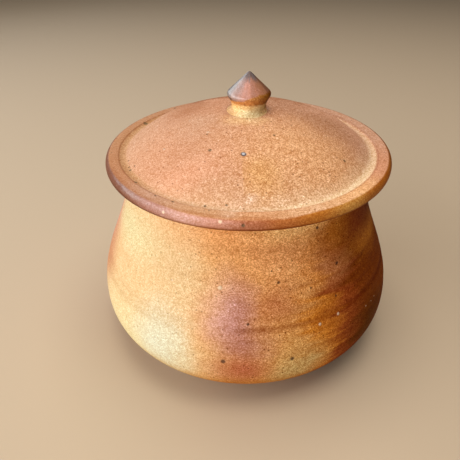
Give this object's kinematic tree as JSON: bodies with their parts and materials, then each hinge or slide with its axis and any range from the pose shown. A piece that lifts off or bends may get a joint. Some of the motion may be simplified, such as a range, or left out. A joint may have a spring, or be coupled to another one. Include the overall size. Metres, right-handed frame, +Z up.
{
  "type": "salt jar",
  "caption": "Squat stoneware jar with a full belly and a loose domed lid. The lid's flange drops into the mouth and its pointed knob lifts it off.",
  "frame": {"origin": "centre of the foot, on the table", "axes": "+Z up along the axis of the jar, through the middle of the mouth and the tip of the knob; the jar is round, so +X and +Y are free"},
  "size_m": [0.1244, 0.1244, 0.1106],
  "materials": {
    "jar_clay": "unglazed wood-fired stoneware, sandy, with pale ash and rust flashing",
    "lid_clay": "unglazed wood-fired stoneware, sandy, with a pale cove and a reddish rim",
    "knob_clay": "unglazed wood-fired stoneware, smooth, mauve-brown cap over a pale neck"
  },
  "bodies": {
    "pot": {"jar": "jar_clay"},
    "cover": {"lid": "lid_clay", "knob": "knob_clay"}
  },
  "joints": [
    {"name": "lid_lift", "type": "slide", "parent": "pot", "child": "cover", "axis": [0, 0, 1], "range_m": [0, 0.12]}
  ]
}
